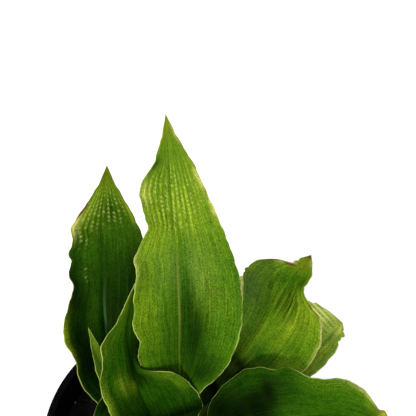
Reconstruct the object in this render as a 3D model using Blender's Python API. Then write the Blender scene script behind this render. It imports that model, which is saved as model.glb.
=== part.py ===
"""Broad-leaved house plant: a low rosette of waved leaves in a black nursery pot.

The origin is the middle of the pot's base, +Z is up, and the tallest leaves lean
away towards +Y. Sizes in the tables below are millimetres, times MM for metres.
"""

import math
from dataclasses import dataclass

import bmesh
import bpy
import numpy as np

MM = 0.001
GAP = 0.3
SOIL_GAP = 0.4

# The pot
POT_HEIGHT = 105.0
RIM_RADIUS = 62.0
RIM_BAND_HEIGHT = 9.0
RIM_BAND_DEPTH = 2.0
RIM_ROUNDING = 0.6
WALL = 1.5
BASE_RADIUS = 45.0
FOOT_RADIUS = 42.5
FOOT_INNER_RADIUS = 34.0
PAD_RADIUS = 15.0
CHANNEL_RISE = 3.0
CHANNEL_SLOPE = 1.5
DRAIN_HOLES = 8
DRAIN_RADIUS = 4.0
CUT_DEPTH = 6.0
SIDES = 48
DRAIN_SIDES = 14
CREASE = math.radians(35)

# The soil
SOIL_LEVEL = 90.5
SOIL_MOUND = 1.6
SOIL_WAVE = 0.45
SOIL_RINGS = 7
SOIL_FLAT_PART = 0.3

# The crown, a short stem that stands in a plain hole in the soil
STEM_RADIUS = 6.4
STEM_FOOT = 66.0
STEM_TOP = 96.0
STEM_SHOULDER = 1.0
STEM_FOOT_ROUNDING = 2.5
BUD_RADIUS = 3.3
BUD_TOP = 101.5
BUD_POINT = 3.0
CROWN_SIDES = 20

# The leaves
BASE_HALF_WIDTH = 2.2
BLADE_THICKNESS = 0.75
MIDRIB_THICKNESS = 1.3
STALK_THICKNESS = 2.0
STALK_LENGTH = 0.18
CURL_POWER = 2.2
LAST_ROW = 0.975
FIRST_DIFFERENCE = 0.002
COLUMNS = (-1.0, -0.8, -0.52, -0.25, 0.0, 0.25, 0.52, 0.8, 1.0)
ROWS = 27

# Waves of the soil's top: (bumps in a turn, twist in radians per millimetre, start in radians)
SOIL_WAVES = ((3, 0.11, 0.0), (5, -0.23, 1.3))

# Trough of a leaf across its midrib: (fraction of its length, degrees each side rises)
TROUGH = ((0.0, 14.0), (0.07, 38.0), (0.18, 34.0), (0.36, 18.0), (0.7, 9.0), (1.0, 7.0))

LEAF_GREEN = (0.11, 0.23, 0.025)
DARK_GREEN = (0.03, 0.09, 0.012)
PALE_GREEN = (0.26, 0.34, 0.07)


@dataclass
class Leaf:
    """One leaf. The midrib runs from base to tip, and face is where the upper side looks
    at the base, the middle and the tip. A margin's rows are (fraction of the length,
    half-width, lift of the edge towards the upper side)."""

    name: str
    midrib: tuple
    face: tuple
    left: tuple
    right: tuple
    colour: tuple = LEAF_GREEN


def plain_margin(half_width, wave):
    """Margin of a leaf that is widest at its middle, with the edge waving up and down."""
    stalk = BASE_HALF_WIDTH / half_width
    shape = ((0.0, stalk), (0.1, 1.4 * stalk), (0.22, 0.55), (0.34, 0.86), (0.48, 1.0),
             (0.62, 0.95), (0.76, 0.72), (0.88, 0.38), (0.95, 0.15), (1.0, 0.0))
    rows = []
    for index, (along, width) in enumerate(shape):
        lift = wave * (-1) ** index * math.sin(math.pi * along)
        rows.append((along, half_width * width, lift))
    return tuple(rows)


LEAVES = (
    Leaf("leaf_back_tall",
         midrib=((0.2, 4.8, 99), (-0.3, 14, 130), (-0.5, 31, 161), (-1.6, 47, 186), (-3, 62, 205),
                 (-5, 81, 222)),
         face=((0, -1, 0.3), (0.05, -1, 0.7), (0.05, -1, 1)),
         left=((0, 2.2, 0), (0.1, 5, 0), (0.2, 11.5, -5.5), (0.27, 15.5, -4), (0.34, 18, 3),
               (0.4, 18, 4), (0.46, 20, 1), (0.54, 18.5, 3), (0.62, 18, -1), (0.7, 13, 2),
               (0.78, 14, -1), (0.82, 12.5, 0.7), (0.86, 7.6, 1.9), (0.9, 5, 0), (0.95, 2.2, 0),
               (1, 0, 0)),
         right=((0, 2.2, 0), (0.1, 5, 0), (0.2, 10, 2), (0.3, 19, 5), (0.4, 25, 6), (0.48, 27, 3),
                (0.56, 26, 3), (0.64, 22.3, 1), (0.72, 18, 3), (0.8, 13.2, 1), (0.86, 9.8, 0.3),
                (0.9, 6.7, 0), (1, 0, 0))),
    Leaf("leaf_back_left",
         midrib=((-7.6, 3.4, 94), (-21, 7, 118), (-30, 18, 133), (-33, 34, 149), (-33, 48, 165),
                 (-33, 62, 181), (-31, 77, 197)),
         face=((0.6, -0.6, 0.6), (0.3, -1, 0.8), (0.1, -1, 0.8)),
         left=((0, 2.2, 0), (0.1, 4, 0), (0.2, 10.5, -1), (0.3, 14, 1), (0.38, 16, 1), (0.46, 19.4, 3),
               (0.5, 19.4, 1.5), (0.55, 17, 0), (0.62, 14.5, 2), (0.67, 15, 0), (0.71, 14.4, -1),
               (0.74, 15, 0.8), (0.78, 13.6, 2), (0.82, 12.8, 0.8), (0.86, 9, 0), (0.93, 3.6, 0),
               (1, 0, 0)),
         right=((0, 2.2, 0), (0.1, 4, 0), (0.2, 7, 0), (0.3, 10, 2), (0.4, 14, 1), (0.5, 17, 2),
                (0.6, 19, 0), (0.7, 18.5, 1), (0.78, 17, 0), (0.86, 12.3, 0), (0.94, 5, 0), (1, 0, 0)),
         colour=DARK_GREEN),
    Leaf("leaf_left_inner",
         midrib=((-3.4, -5.2, 99), (-11, -2, 118), (-18, 7, 136), (-22, 21, 151), (-19, 39, 166)),
         face=((0.7, -0.2, 0.6), (0.5, -0.8, 1), (0.4, -0.8, 0.8)),
         left=((0, 2.2, 0), (0.1, 6, 0), (0.2, 11, 1), (0.3, 15, 2), (0.4, 17, 0), (0.5, 18, 2),
               (0.6, 16, 0), (0.7, 13, 1), (0.8, 6, 0), (0.9, 3, 0), (1, 0, 0)),
         right=((0, 2.2, 0), (0.1, 10, 0), (0.2, 19, 3), (0.3, 21, 6), (0.4, 20, 7), (0.5, 12.5, 4.5),
                (0.58, 4, -1), (0.64, 4, -4), (0.7, 6, -5), (0.8, 6, -2), (0.9, 3, 0), (1, 0, 0))),
    Leaf("leaf_left_young",
         midrib=((-5.0, 0.6, 98.5), (-15, 1, 113), (-26, 6, 128), (-34, 15, 141), (-40, 24, 152)),
         face=((0.8, -0.2, 0.6), (0.4, -0.7, 1), (0.3, -0.8, 1)),
         left=((0, 1.6, 0), (0.3, 1.8, 0), (0.5, 2.4, 0), (0.65, 4.6, 0), (0.8, 2.6, 0), (1, 0, 0)),
         right=((0, 1.6, 0), (0.3, 2, 0), (0.6, 2.2, 0), (0.8, 3, 0), (1, 0, 0))),
    Leaf("leaf_back_low",
         midrib=((0, 8.3, 94), (4, 17, 108), (11, 29, 122), (20, 40, 136), (27, 54, 147)),
         face=((0, -0.8, 0.6), (0, -0.8, 0.8), (0, -0.6, 1)),
         left=plain_margin(11, 1),
         right=plain_margin(11, 1),
         colour=PALE_GREEN),
    Leaf("leaf_back_right",
         midrib=((5.8, 6.4, 94), (19, 12, 117), (34, 26, 136), (47, 40, 151), (57, 56, 163)),
         face=((-0.6, -0.6, 0.6), (-0.4, -0.6, 1), (-0.2, -0.5, 1)),
         left=((0, 2.2, 0), (0.1, 4, 0), (0.2, 9, 0), (0.3, 13, 0), (0.5, 15, 0), (0.6, 16, 0),
               (0.7, 19, 0), (0.8, 23.5, 1), (0.88, 20.3, 0), (0.92, 13.3, 0), (0.935, 7.5, 0),
               (0.95, 5.7, 0), (1, 0, 0)),
         right=((0, 2.2, 0), (0.1, 4, 0), (0.2, 8, 1), (0.3, 13, 3), (0.4, 18, 4), (0.5, 22, 5),
                (0.6, 24.5, 4), (0.7, 24, 3), (0.75, 20, 1), (0.79, 14, 0), (0.82, 7, 1.6),
                (0.86, 4.5, 2.3), (0.92, 4.7, 1.4), (0.96, 2.8, 0), (1, 0, 0))),
    Leaf("leaf_right_low",
         midrib=((8.6, 1.6, 93.5), (22, 6, 108), (40, 15, 123), (58, 27, 132), (73, 41.5, 131)),
         face=((-0.8, -0.2, 0.6), (-0.4, -0.4, 1), (0, -0.2, 1)),
         left=((0, 2.2, 0), (0.1, 3.5, 0), (0.2, 5, 0), (0.3, 8, 0), (0.5, 15, 1), (0.7, 20, 0),
               (0.85, 19, 1), (0.94, 18, 0), (0.98, 12, 0), (1, 0, 0)),
         right=((0, 2.2, 0), (0.1, 4, 0), (0.3, 7, 0), (0.5, 8, 0), (0.7, 9.8, 0), (0.84, 8.2, 0),
                (0.9, 6, 0), (0.95, 5, 0), (1, 0, 0)),
         colour=PALE_GREEN),
    Leaf("leaf_right",
         midrib=((8.0, -3.3, 94), (23, -4, 118), (46, -7, 134), (68, -9, 140), (91, -10, 131)),
         face=((-0.8, 0, 0.6), (-0.3, -0.5, 1), (0.2, -0.5, 1)),
         left=((0, 2.2, 0), (0.1, 5, 0), (0.2, 12, 0), (0.3, 19, 1), (0.4, 23, 0), (0.5, 22, 1),
               (0.58, 20.5, 0), (0.66, 15.5, 2), (0.7, 14.3, 1), (0.74, 15, 0), (0.79, 13.5, 1),
               (0.84, 10, 1), (0.9, 7, 0), (1, 0, 0)),
         right=((0, 2.2, 0), (0.1, 4.5, 0), (0.2, 11, 0), (0.3, 18, 1), (0.4, 22, -1), (0.5, 24, 2),
                (0.6, 23, -1), (0.7, 19, 1), (0.8, 14, 0), (0.9, 8, 0), (1, 0, 0))),
    Leaf("leaf_front_left",
         midrib=((-8.0, -2.2, 94), (-15, -5, 107), (-22, -4, 119), (-28, 0, 131), (-33, -7, 132),
                 (-34.5, -17, 124), (-33, -26, 113)),
         face=((0.9, 0.2, 0.5), (0.2, -0.6, 1), (-0.3, -0.5, 1)),
         left=((0, 2.2, 0), (0.15, 3, 0), (0.3, 5, 0), (0.45, 7, 1), (0.6, 8, -1), (0.75, 7, 0),
               (0.88, 4, 0), (1, 0, 0)),
         right=((0, 2.2, 0), (0.15, 2.5, 0), (0.3, 3, 0), (0.45, 4, 1), (0.55, 6, 1), (0.62, 7, 1),
                (0.7, 4, 0), (0.88, 3.5, 0), (1, 0, 0)),
         colour=DARK_GREEN),
    Leaf("leaf_front",
         midrib=((-0.5, -8.3, 94), (-1, -22, 110), (-3, -39, 118), (-6, -57, 116), (-8, -73, 106)),
         face=((0, 0.8, 0.6), (0, 0.3, 1), (0, -0.4, 1)),
         left=plain_margin(15, 2),
         right=plain_margin(17, -2)),
    Leaf("leaf_front_right",
         midrib=((5.0, -7.1, 94), (17, -18, 105), (32, -30, 111), (46, -41, 107), (57, -51, 96)),
         face=((-0.5, 0.7, 0.6), (-0.2, 0.3, 1), (0.2, -0.3, 1)),
         left=plain_margin(17, 1.5),
         right=plain_margin(14, -1.5)),
)


def unit(vectors):
    """Vectors scaled to length one."""
    return vectors / np.linalg.norm(vectors, axis=-1, keepdims=True)


def curve_through(rows, at):
    """Smooth curve through rows of (position, value, ...), read at the given positions."""
    rows = np.asarray(rows, dtype=float)
    knots, values = rows[:, 0], rows[:, 1:]
    steps = np.diff(values, axis=0) / np.diff(knots)[:, None]
    slopes = np.empty_like(values)
    slopes[0], slopes[-1] = steps[0], steps[-1]
    slopes[1:-1] = (values[2:] - values[:-2]) / (knots[2:] - knots[:-2])[:, None]
    at = np.clip(np.asarray(at, dtype=float), knots[0], knots[-1])
    k = np.clip(np.searchsorted(knots, at, side="right") - 1, 0, len(knots) - 2)
    span = (knots[k + 1] - knots[k])[:, None]
    s = (at - knots[k])[:, None] / span
    start = (2 * s**3 - 3 * s**2 + 1) * values[k] + (s**3 - 2 * s**2 + s) * span * slopes[k]
    end = (3 * s**2 - 2 * s**3) * values[k + 1] + (s**3 - s**2) * span * slopes[k + 1]
    return start + end


def along_the_midrib(points, at):
    """Points on the midrib at fractions of its length."""
    points = np.asarray(points, dtype=float)
    reach = np.concatenate([[0], np.cumsum(np.linalg.norm(np.diff(points, axis=0), axis=1))])
    return curve_through(np.column_stack([reach / reach[-1], points]), at)


def leaf_surface(leaf, at, columns):
    """Middle surface of a leaf: one row of points across it at each fraction of its length."""
    middle = along_the_midrib(leaf.midrib, at)
    ahead = along_the_midrib(leaf.midrib, np.minimum(at + FIRST_DIFFERENCE, 1))
    behind = along_the_midrib(leaf.midrib, np.maximum(at - FIRST_DIFFERENCE, 0))
    tangent = unit(ahead - behind)
    face = curve_through([(0, *leaf.face[0]), (0.5, *leaf.face[1]), (1, *leaf.face[2])], at)
    sideways = unit(np.cross(tangent, face))
    upwards = np.cross(sideways, tangent)
    rise = np.radians(np.interp(at, *np.transpose(TROUGH)))[:, None]
    points = np.empty((len(at), len(columns), 3))
    for j, column in enumerate(columns):
        half_width, lift = curve_through(leaf.left if column < 0 else leaf.right, at).T[:, :, None]
        reach = np.maximum(half_width, 0) * abs(column)
        out = reach * np.cos(rise) * math.copysign(1, column)
        up = reach * np.sin(rise) + lift * abs(column) ** CURL_POWER
        points[:, j] = middle + sideways * out + upwards * up
    return points


def surface_normals(points):
    """Unit normals of a grid of points, towards a leaf's upper side."""
    return unit(np.cross(np.gradient(points, axis=1), np.gradient(points, axis=0)))


def leaf_thickness(at, columns):
    """Thick stalk and midrib, thin edges."""
    stalk = np.clip(1 - at / STALK_LENGTH, 0, 1)[:, None]
    centre = (1 - np.abs(columns)[None, :]) ** 2 * (1 - at[:, None])
    blade = BLADE_THICKNESS + (MIDRIB_THICKNESS - BLADE_THICKNESS) * centre
    return blade + (STALK_THICKNESS - BLADE_THICKNESS) * stalk * (1 - 0.5 * np.abs(columns)[None, :])


def closed_blade(leaf):
    """Vertices and triangles of a leaf as one closed solid, cut alike on both faces."""
    columns = np.array(COLUMNS)
    at = np.linspace(0, LAST_ROW, ROWS)
    middle = leaf_surface(leaf, at, columns)
    offset = surface_normals(middle) * leaf_thickness(at, columns)[:, :, None] / 2
    tip = along_the_midrib(leaf.midrib, np.array([1.0]))[0]
    tip_offset = unit(offset[-1, len(columns) // 2]) * BLADE_THICKNESS / 2
    rows, across = middle.shape[:2]
    upper = (middle + offset).reshape(-1, 3)
    lower = (middle - offset).reshape(-1, 3)
    vertices = np.vstack([upper, lower, tip + tip_offset, tip - tip_offset])
    below = rows * across
    tip_upper, tip_lower = 2 * below, 2 * below + 1
    triangles = []

    def add(a, b, c):
        """The same triangle on the upper face, and turned over on the lower one."""
        triangles.append((a, b, c))
        triangles.append((c + below, b + below, a + below))

    for i in range(rows - 1):
        for j in range(across - 1):
            a, b = i * across + j, i * across + j + 1
            c, d = b + across, a + across
            if j < across // 2:
                add(a, b, c)
                add(a, c, d)
            else:
                add(a, b, d)
                add(b, c, d)
    last = (rows - 1) * across
    for j in range(across - 1):
        triangles.append((last + j, last + j + 1, tip_upper))
        triangles.append((last + j + 1 + below, last + j + below, tip_lower))
    left_edge = [i * across for i in range(rows)]
    right_edge = [i * across + across - 1 for i in range(rows)]
    rim = [(v, v + below) for v in left_edge] + [(tip_upper, tip_lower)]
    rim += [(v, v + below) for v in reversed(right_edge)]
    rim += [(j, j + below) for j in range(across - 2, 0, -1)]
    for (a, a_below), (b, b_below) in zip(rim, rim[1:] + rim[:1]):
        triangles.append((a, b, b_below))
        triangles.append((a, b_below, a_below))
    return vertices, triangles


def add_material(piece, colour, roughness):
    """Give the piece its own material."""
    material = bpy.data.materials.new(piece.name)
    material.use_nodes = True
    shader = material.node_tree.nodes["Principled BSDF"]
    shader.inputs["Base Color"].default_value = (*colour, 1)
    shader.inputs["Roughness"].default_value = roughness
    shader.inputs["Metallic"].default_value = 0
    piece.data.materials.append(material)


def add_piece(name, vertices, faces, location, holder):
    """A mesh object with its points in millimetres, measured from its location."""
    location = np.asarray(location, dtype=float)
    mesh = bpy.data.meshes.new(name)
    points = (np.asarray(vertices) - location) * MM
    mesh.from_pydata(points.tolist(), [], faces)
    shape = bmesh.new()
    shape.from_mesh(mesh)
    bmesh.ops.recalc_face_normals(shape, faces=shape.faces)
    shape.to_mesh(mesh)
    shape.free()
    mesh.shade_smooth()
    mesh.set_sharp_from_angle(angle=CREASE)
    piece = bpy.data.objects.new(name, mesh)
    piece.location = location * MM
    piece.parent = holder
    bpy.context.collection.objects.link(piece)
    return piece


def turned(outline, sides):
    """Vertices and faces of an outline of (radius, height) turned about +Z.

    A point at radius zero is one vertex on the axis.
    """
    vertices, rings, faces = [], [], []
    for radius, height in outline:
        if radius == 0:
            rings.append([len(vertices)] * sides)
            vertices.append((0, 0, height))
            continue
        rings.append([len(vertices) + k for k in range(sides)])
        for k in range(sides):
            angle = 2 * math.pi * k / sides
            vertices.append((radius * math.cos(angle), radius * math.sin(angle), height))
    closed = rings + rings[:1] if outline[0][0] > 0 else rings
    for ring, following in zip(closed, closed[1:]):
        for k in range(sides):
            corners = [ring[k], ring[(k + 1) % sides], following[(k + 1) % sides], following[k]]
            faces.append(list(dict.fromkeys(corners)))
    return vertices, faces


def wall_radius(height):
    """Outer radius of the pot's tapered wall."""
    body = RIM_RADIUS - RIM_BAND_DEPTH
    return BASE_RADIUS + (body - BASE_RADIUS) * height / POT_HEIGHT


def inside_of_pot(clearance):
    """Inner outline of the pot from the middle of its floor up its wall, moved in by a clearance."""
    inset = WALL + clearance
    raised = CHANNEL_RISE + inset
    return [
        (0, inset),
        (PAD_RADIUS - inset, inset),
        (PAD_RADIUS + CHANNEL_SLOPE - inset, raised),
        (FOOT_INNER_RADIUS - CHANNEL_SLOPE + inset, raised),
        (FOOT_INNER_RADIUS + inset, inset),
        (FOOT_RADIUS - inset / 2, inset),
        (wall_radius(raised) - inset, raised),
    ]


def make_pot(holder):
    """Tapered pot with a rim band, a foot ring, a middle pad and drain holes between them."""
    band_bottom = POT_HEIGHT - RIM_BAND_HEIGHT
    rim_inner = wall_radius(POT_HEIGHT) - WALL
    outline = inside_of_pot(0) + [
        (wall_radius(band_bottom) - WALL, band_bottom),
        (rim_inner, POT_HEIGHT - RIM_ROUNDING),
        (rim_inner + RIM_ROUNDING, POT_HEIGHT),
        (RIM_RADIUS - RIM_ROUNDING, POT_HEIGHT),
        (RIM_RADIUS, POT_HEIGHT - RIM_ROUNDING),
        (RIM_RADIUS, band_bottom + RIM_ROUNDING),
        (RIM_RADIUS - RIM_ROUNDING, band_bottom),
        (wall_radius(band_bottom), band_bottom),
        (wall_radius(CHANNEL_RISE), CHANNEL_RISE),
        (FOOT_RADIUS, 0),
        (FOOT_INNER_RADIUS, 0),
        (FOOT_INNER_RADIUS - CHANNEL_SLOPE, CHANNEL_RISE),
        (PAD_RADIUS + CHANNEL_SLOPE, CHANNEL_RISE),
        (PAD_RADIUS, 0),
        (0, 0),
    ]
    pot = add_piece("pot", *turned(outline, SIDES), (0, 0, 0), holder)
    add_material(pot, colour=(0.012, 0.012, 0.013), roughness=0.45)
    channel_middle = (PAD_RADIUS + FOOT_INNER_RADIUS) / 2
    cutters = bpy.data.collections.new("drain_cutters")
    bpy.context.scene.collection.children.link(cutters)
    height = CHANNEL_RISE + WALL / 2
    for k in range(DRAIN_HOLES):
        angle = 2 * math.pi * (k + 0.5) / DRAIN_HOLES
        bpy.ops.mesh.primitive_cylinder_add(vertices=DRAIN_SIDES, radius=DRAIN_RADIUS * MM,
                                            depth=CUT_DEPTH * MM)
        cutter = bpy.context.object
        cutter.name = f"drain_cutter_{k}"
        place = (channel_middle * math.cos(angle), channel_middle * math.sin(angle), height)
        cutter.location = [value * MM for value in place]
        cutter.parent = holder
        cutter.hide_render = True
        cutter.display_type = "WIRE"
        for collection in cutter.users_collection:
            collection.objects.unlink(cutter)
        cutters.objects.link(cutter)
    holes = pot.modifiers.new("drain_holes", "BOOLEAN")
    holes.operation = "DIFFERENCE"
    holes.solver = "EXACT"
    holes.operand_type = "COLLECTION"
    holes.collection = cutters


def soil_height(radius, angle):
    """Gently mounded, uneven top of the soil."""
    mound = SOIL_MOUND * (1 - (radius / RIM_RADIUS) ** 2)
    waves = sum(math.sin(bumps * angle + twist * radius + start) for bumps, twist, start in SOIL_WAVES)
    fade = min(1, radius / (SOIL_FLAT_PART * RIM_RADIUS))
    return SOIL_LEVEL + mound + SOIL_WAVE * waves * fade


def make_soil(holder):
    """Soil that fills the pot to below its rim, with a plain hole where the stem stands."""
    hole = STEM_RADIUS + GAP
    hole_bottom = STEM_FOOT - GAP
    outer = wall_radius(SOIL_LEVEL) - WALL - SOIL_GAP
    outline = [(0, hole_bottom), (hole, hole_bottom)]
    top_rings = [hole + (outer - hole) * step / (SOIL_RINGS - 1) for step in range(SOIL_RINGS)]
    outline += [(radius, SOIL_LEVEL) for radius in top_rings]
    outline += list(reversed(inside_of_pot(SOIL_GAP)))
    vertices, faces = turned(outline, SIDES)
    first_top = 1 + SIDES
    for k in range(first_top, first_top + SOIL_RINGS * SIDES):
        x, y, _ = vertices[k]
        vertices[k] = (x, y, soil_height(math.hypot(x, y), math.atan2(y, x)))
    soil = add_piece("soil", vertices, faces, (0, 0, 0), holder)
    add_material(soil, colour=(0.018, 0.013, 0.009), roughness=0.95)


def make_crown(holder):
    """Short stem with a narrower growing bud on top; the leaves stand round both."""
    outline = [
        (0, STEM_FOOT),
        (STEM_RADIUS - STEM_FOOT_ROUNDING, STEM_FOOT),
        (STEM_RADIUS, STEM_FOOT + STEM_FOOT_ROUNDING),
        (STEM_RADIUS, STEM_TOP - STEM_SHOULDER),
        (STEM_RADIUS - STEM_SHOULDER, STEM_TOP),
        (BUD_RADIUS, STEM_TOP),
        (BUD_RADIUS, BUD_TOP - BUD_POINT),
        (BUD_RADIUS / 2, BUD_TOP - BUD_POINT / 4),
        (0, BUD_TOP),
    ]
    base = (0, 0, STEM_FOOT)
    crown = add_piece("crown", *turned(outline, CROWN_SIDES), base, holder)
    add_material(crown, colour=(0.16, 0.22, 0.05), roughness=0.6)


def make_leaf(leaf, holder):
    """One leaf, placed by its base."""
    vertices, triangles = closed_blade(leaf)
    blade = add_piece(leaf.name, vertices, triangles, leaf.midrib[0], holder)
    add_material(blade, colour=leaf.colour, roughness=0.4)


def main():
    for thing in list(bpy.data.objects):
        bpy.data.objects.remove(thing, do_unlink=True)
    holder = bpy.data.objects.new("potted_plant", None)
    bpy.context.collection.objects.link(holder)
    make_pot(holder)
    make_soil(holder)
    make_crown(holder)
    for leaf in LEAVES:
        make_leaf(leaf, holder)


main()
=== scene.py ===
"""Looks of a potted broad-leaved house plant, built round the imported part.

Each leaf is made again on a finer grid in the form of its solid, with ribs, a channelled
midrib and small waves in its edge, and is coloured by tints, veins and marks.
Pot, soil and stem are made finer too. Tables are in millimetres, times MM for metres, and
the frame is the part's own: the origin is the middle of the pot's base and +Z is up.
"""

import math
from dataclasses import dataclass

import bmesh
import bpy
import numpy as np
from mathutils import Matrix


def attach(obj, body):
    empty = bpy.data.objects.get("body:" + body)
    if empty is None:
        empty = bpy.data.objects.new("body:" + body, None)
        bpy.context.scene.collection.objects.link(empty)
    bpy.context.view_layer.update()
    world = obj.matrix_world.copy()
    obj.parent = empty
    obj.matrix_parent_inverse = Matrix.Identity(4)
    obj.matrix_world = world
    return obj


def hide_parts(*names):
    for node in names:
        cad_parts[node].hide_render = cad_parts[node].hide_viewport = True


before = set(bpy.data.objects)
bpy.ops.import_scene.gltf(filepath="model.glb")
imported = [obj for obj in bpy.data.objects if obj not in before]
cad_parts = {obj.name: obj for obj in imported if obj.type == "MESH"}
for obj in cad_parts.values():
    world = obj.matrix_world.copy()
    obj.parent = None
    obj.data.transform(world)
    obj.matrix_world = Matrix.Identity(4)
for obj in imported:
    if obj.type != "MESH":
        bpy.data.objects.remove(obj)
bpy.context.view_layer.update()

MM = 0.001

# Camera: above the front of the pot, looking down along +Y
CAMERA_PLACE = (11.8, -181.8, 478.2)
CAMERA_PITCH = 50
CAMERA_LENS = 78

# Light: a low key light from the front left and a bright, even sky
KEY_AZIMUTH = -32
KEY_ELEVATION = 25
KEY_DISTANCE = 1.7
KEY_TARGET = 0.14
KEY_SIZE = 0.16
KEY_POWER = 27
KEY_COLOUR = (1.0, 0.95, 0.84)
SKY_COLOUR = (0.98, 1.0, 1.02)
SKY_STRENGTH = 1.2
FLOOR_SIZE = 8
FLOOR_COLOUR = (0.99, 0.98, 0.98)

# Pot, as in the part
POT_HEIGHT = 105
RIM_RADIUS = 62
RIM_BAND_HEIGHT = 9
RIM_BAND_DEPTH = 2
RIM_ROUNDING = 0.6
WALL = 1.5
BASE_RADIUS = 45
FOOT_RADIUS = 42.5
FOOT_INNER_RADIUS = 34
PAD_RADIUS = 15
CHANNEL_RISE = 3
CHANNEL_SLOPE = 1.5
DRAIN_HOLES = 8
DRAIN_RADIUS = 4
CUT_DEPTH = 8
POT_SIDES = 192
DRAIN_SIDES = 40
CREASE = math.radians(40)

# Soil, as in the part, with lumps, loose crumbs and perlite on top
SOIL_LEVEL = 90.5
SOIL_MOUND = 1.6
SOIL_WAVE = 0.45
SOIL_FLAT_PART = 0.3
SOIL_WAVES = ((3, 0.11, 0.0), (5, -0.23, 1.3))
SOIL_GAP = 0.4
STEM_GAP = 0.3
SOIL_SIDES = 200
SOIL_RINGS = 90
LUMPS = ((5.0, 0.5), (2.4, 0.4), (1.3, 0.28))
WAVES_PER_LUMP = 6
CRUMBS = 1100
CRUMB_SIZE = (0.5, 1.6)
PERLITE = 14
PERLITE_SIZE = (0.5, 0.9)
# Distance from the middle and angle of the pale grain that shows beside the leaves
SEEN_GRAINS = ((55.6, math.radians(156.6)),)
BITS_FROM_STEM = 2.5
BITS_FROM_WALL = 2
BIT_LIFT = 0.2
BIT_STRETCH = (0.6, 1.5)
BIT_FLATNESS = 0.6
BIT_UNEVENNESS = 0.28

# Stem and growing bud, as in the part
STEM_RADIUS = 6.4
STEM_FOOT = 66
STEM_TOP = 96
STEM_SHOULDER = 1
STEM_FOOT_ROUNDING = 2.5
BUD_RADIUS = 3.3
BUD_TOP = 101.5
CROWN_SIDES = 64
BUD_STEPS = 12
BUD_LIFT = 0.02
BUD_TAPER = 0.15
BUD_FOLDS = 3
BUD_FOLD_DEPTH = 0.10
BUD_TWIST = 0.9
LEAF_SCARS = 9
SCAR_STEPS = 6
SCAR_DEPTH = 0.25

# Form of the leaves, nearly as in the part
BASE_HALF_WIDTH = 2.2
BLADE_THICKNESS = 0.75
MIDRIB_THICKNESS = 1.3
STALK_THICKNESS = 2
STALK_LENGTH = 0.18
CURL_POWER = 2.2
FIRST_DIFFERENCE = 0.002
TROUGH = ((0.0, 14.0), (0.07, 38.0), (0.18, 34.0), (0.36, 18.0), (0.7, 9.0), (1.0, 7.0))

# Finer leaves
ROWS = 190
COLUMNS = 81
LAST_ROW = 0.992
EDGE_THICKNESS = 0.3
EDGE_START = 0.93
VEIN_SPACING = 3.5
RIB_HEIGHT = 0.035
FURROW_DEPTH = 0.3
UNDERSIDE_RELIEF = 0.8
CHANNEL_DEPTH = 0.4
CHANNEL_WIDTH = 0.8
WOBBLES = ((5.3, 0.10), (8.9, 0.14), (3.1, 0.05))
FULL_WOBBLE_FROM = 4

# Marks on the leaves
SMALL_VEINS = 3
DOT_SPACING = 1.75
BARS_PER_MM = 0.42
PALE_EDGE_WIDTH = 0.24
LEAF_GLOSS = 0.02

# Leaf colours, and tones that a colour is multiplied by
# Painted deep shade: near black at leaf bases and where leaves hide one another
PAINTED_DEEP_SHADE = (0.0004, 0.0034, 0.0002)
# Painted shade: dark green in valleys, at leaf bases and on leaves that lie under others
PAINTED_SHADE = (0.0033, 0.0195, 0.0006)
# Painted shade of a furrowed patch
PAINTED_FURROW_SHADE = (0.030, 0.055, 0.002)
SHADOW = (0.0080, 0.036, 0.001)
LEAF = (0.023, 0.075, 0.002)
MEADOW = (0.034, 0.103, 0.002)
FRESH = (0.075, 0.140, 0.005)
BRIGHT = (0.120, 0.190, 0.008)
STRAW = (0.330, 0.340, 0.090)
# Painted sheen: a pale bluish haze for the sky's reflection on the leaf
PAINTED_SHEEN = (0.054, 0.112, 0.015)
OLIVE = (0.085, 0.100, 0.004)
# Painted shade with sheen: the grey green of shaded leaf that shows the sky's reflection
PAINTED_SHADE_SHEEN = (0.064, 0.132, 0.022)
PALE = (0.340, 0.410, 0.060)
CREAM = (0.420, 0.460, 0.120)
BROWN = (0.090, 0.036, 0.010)
DOT = (0.360, 0.430, 0.090)
UNDERSIDE = (0.085, 0.140, 0.022)
UNDERSIDE_SHARE = 0.6
VEIN = (0.20, 0.32, 0.06)
PALE_BAR = (0.62, 0.66, 0.22)
GLOSS_TINT = (0.6, 0.9, 0.2)
WARM_TONE = (1.40, 1.08, 0.6)
VEIN_TONE = (1.7, 1.5, 1.4)
# Painted shade in the furrows
FURROW_SHADE_TONE = (0.25, 0.32, 0.3)
BETWEEN_DOTS_TONE = (0.6, 0.7, 0.6)
STRIPE_TONE = (2.3, 1.9, 1.9)

# Colours and gloss of pot, soil and stem
PLASTIC_BLACK = (0.0008, 0.0008, 0.0009)
PLASTIC_GREY = (0.0016, 0.0016, 0.0017)
DUST = (0.060, 0.050, 0.040)
POT_GLOSS = 0.02
WET_PEAT = (0.0006, 0.0005, 0.0004)
PEAT = (0.0035, 0.0026, 0.0018)
FIBRE = (0.045, 0.028, 0.014)
BARK = (0.005, 0.0035, 0.0025)
PERLITE_GREY = (0.24, 0.23, 0.21)
SOIL_GLOSS = 0.1
STEM_GREEN = (0.060, 0.075, 0.020)
BUD_GREEN = (0.120, 0.210, 0.022)
STEM_FIBRE = (0.030, 0.042, 0.010)
STEM_GLOSS = 0.25


@dataclass
class Leaf:
    """Form of one leaf: the midrib runs from base to tip, and face is where the upper side
    looks at the base, the middle and the tip. A margin's rows between base and tip are
    (fraction of the length, half-width, lift of the edge towards the upper side)."""

    name: str
    slot: str
    midrib: tuple
    face: tuple
    left: tuple
    right: tuple
    base: float = BASE_HALF_WIDTH


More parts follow.
